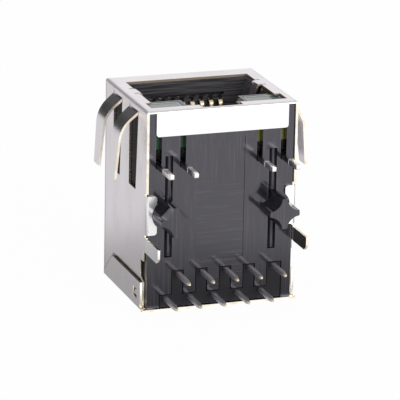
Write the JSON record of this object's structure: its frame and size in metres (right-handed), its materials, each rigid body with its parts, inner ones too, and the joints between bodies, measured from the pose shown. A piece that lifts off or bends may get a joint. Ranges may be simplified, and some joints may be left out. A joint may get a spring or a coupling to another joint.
{
  "type": "shielded rj45 board jack",
  "caption": "Shielded upright network jack for a circuit board, with contacts, status lamps, panel springs, solder pins and star-shaped locating posts.",
  "frame": {"origin": "middle of the rear wall's outer face, on which the jack stands", "axes": "+Z runs out of the port, -Y is the side that lies on the circuit board, X runs across"},
  "size_m": [0.0206, 0.0199, 0.0209],
  "materials": {
    "tinned_sheet": "satin tinned sheet",
    "dark_moulding": "semi-gloss moulded plastic",
    "lamp": "clear cast resin, slightly milky",
    "tinned_pin": "tinned",
    "inner_moulding": "matt moulded plastic",
    "gold_contact": "gold plated",
    "circuit_board": "green solder mask",
    "ferrite": "matt ferrite",
    "enamelled_wire": "enamelled wire",
    "chip": "matt ceramic"
  },
  "bodies": {
    "root": {"shield": "tinned_sheet", "housing": "dark_moulding", "lamp_left": "lamp", "lamp_right": "lamp", "lamp_lead_1": "tinned_pin", "lamp_lead_2": "tinned_pin", "lamp_lead_3": "tinned_pin", "lamp_lead_4": "tinned_pin", "pin_base": "inner_moulding", "signal_pin_1": "tinned_pin", "signal_pin_2": "tinned_pin", "signal_pin_3": "tinned_pin", "signal_pin_4": "tinned_pin", "signal_pin_5": "tinned_pin", "signal_pin_6": "tinned_pin", "signal_pin_7": "tinned_pin", "signal_pin_8": "tinned_pin", "signal_pin_9": "tinned_pin", "signal_pin_10": "tinned_pin", "contact_carrier": "inner_moulding", "contact_1": "gold_contact", "contact_2": "gold_contact", "contact_3": "gold_contact", "contact_4": "gold_contact", "contact_5": "gold_contact", "contact_6": "gold_contact", "contact_7": "gold_contact", "contact_8": "gold_contact", "circuit_board": "circuit_board", "coil_core_1": "ferrite", "coil_core_2": "ferrite", "coil_core_3": "ferrite", "coil_core_4": "ferrite", "coil_core_5": "ferrite", "coil_core_6": "ferrite", "coil_core_7": "ferrite", "coil_core_8": "ferrite", "coil_winding_1": "enamelled_wire", "coil_winding_2": "enamelled_wire", "coil_winding_3": "enamelled_wire", "coil_winding_4": "enamelled_wire", "coil_winding_5": "enamelled_wire", "coil_winding_6": "enamelled_wire", "coil_winding_7": "enamelled_wire", "coil_winding_8": "enamelled_wire", "resistor_1": "chip", "resistor_2": "chip", "resistor_3": "chip", "resistor_4": "chip", "surge_capacitor": "chip"}
  },
  "joints": []
}
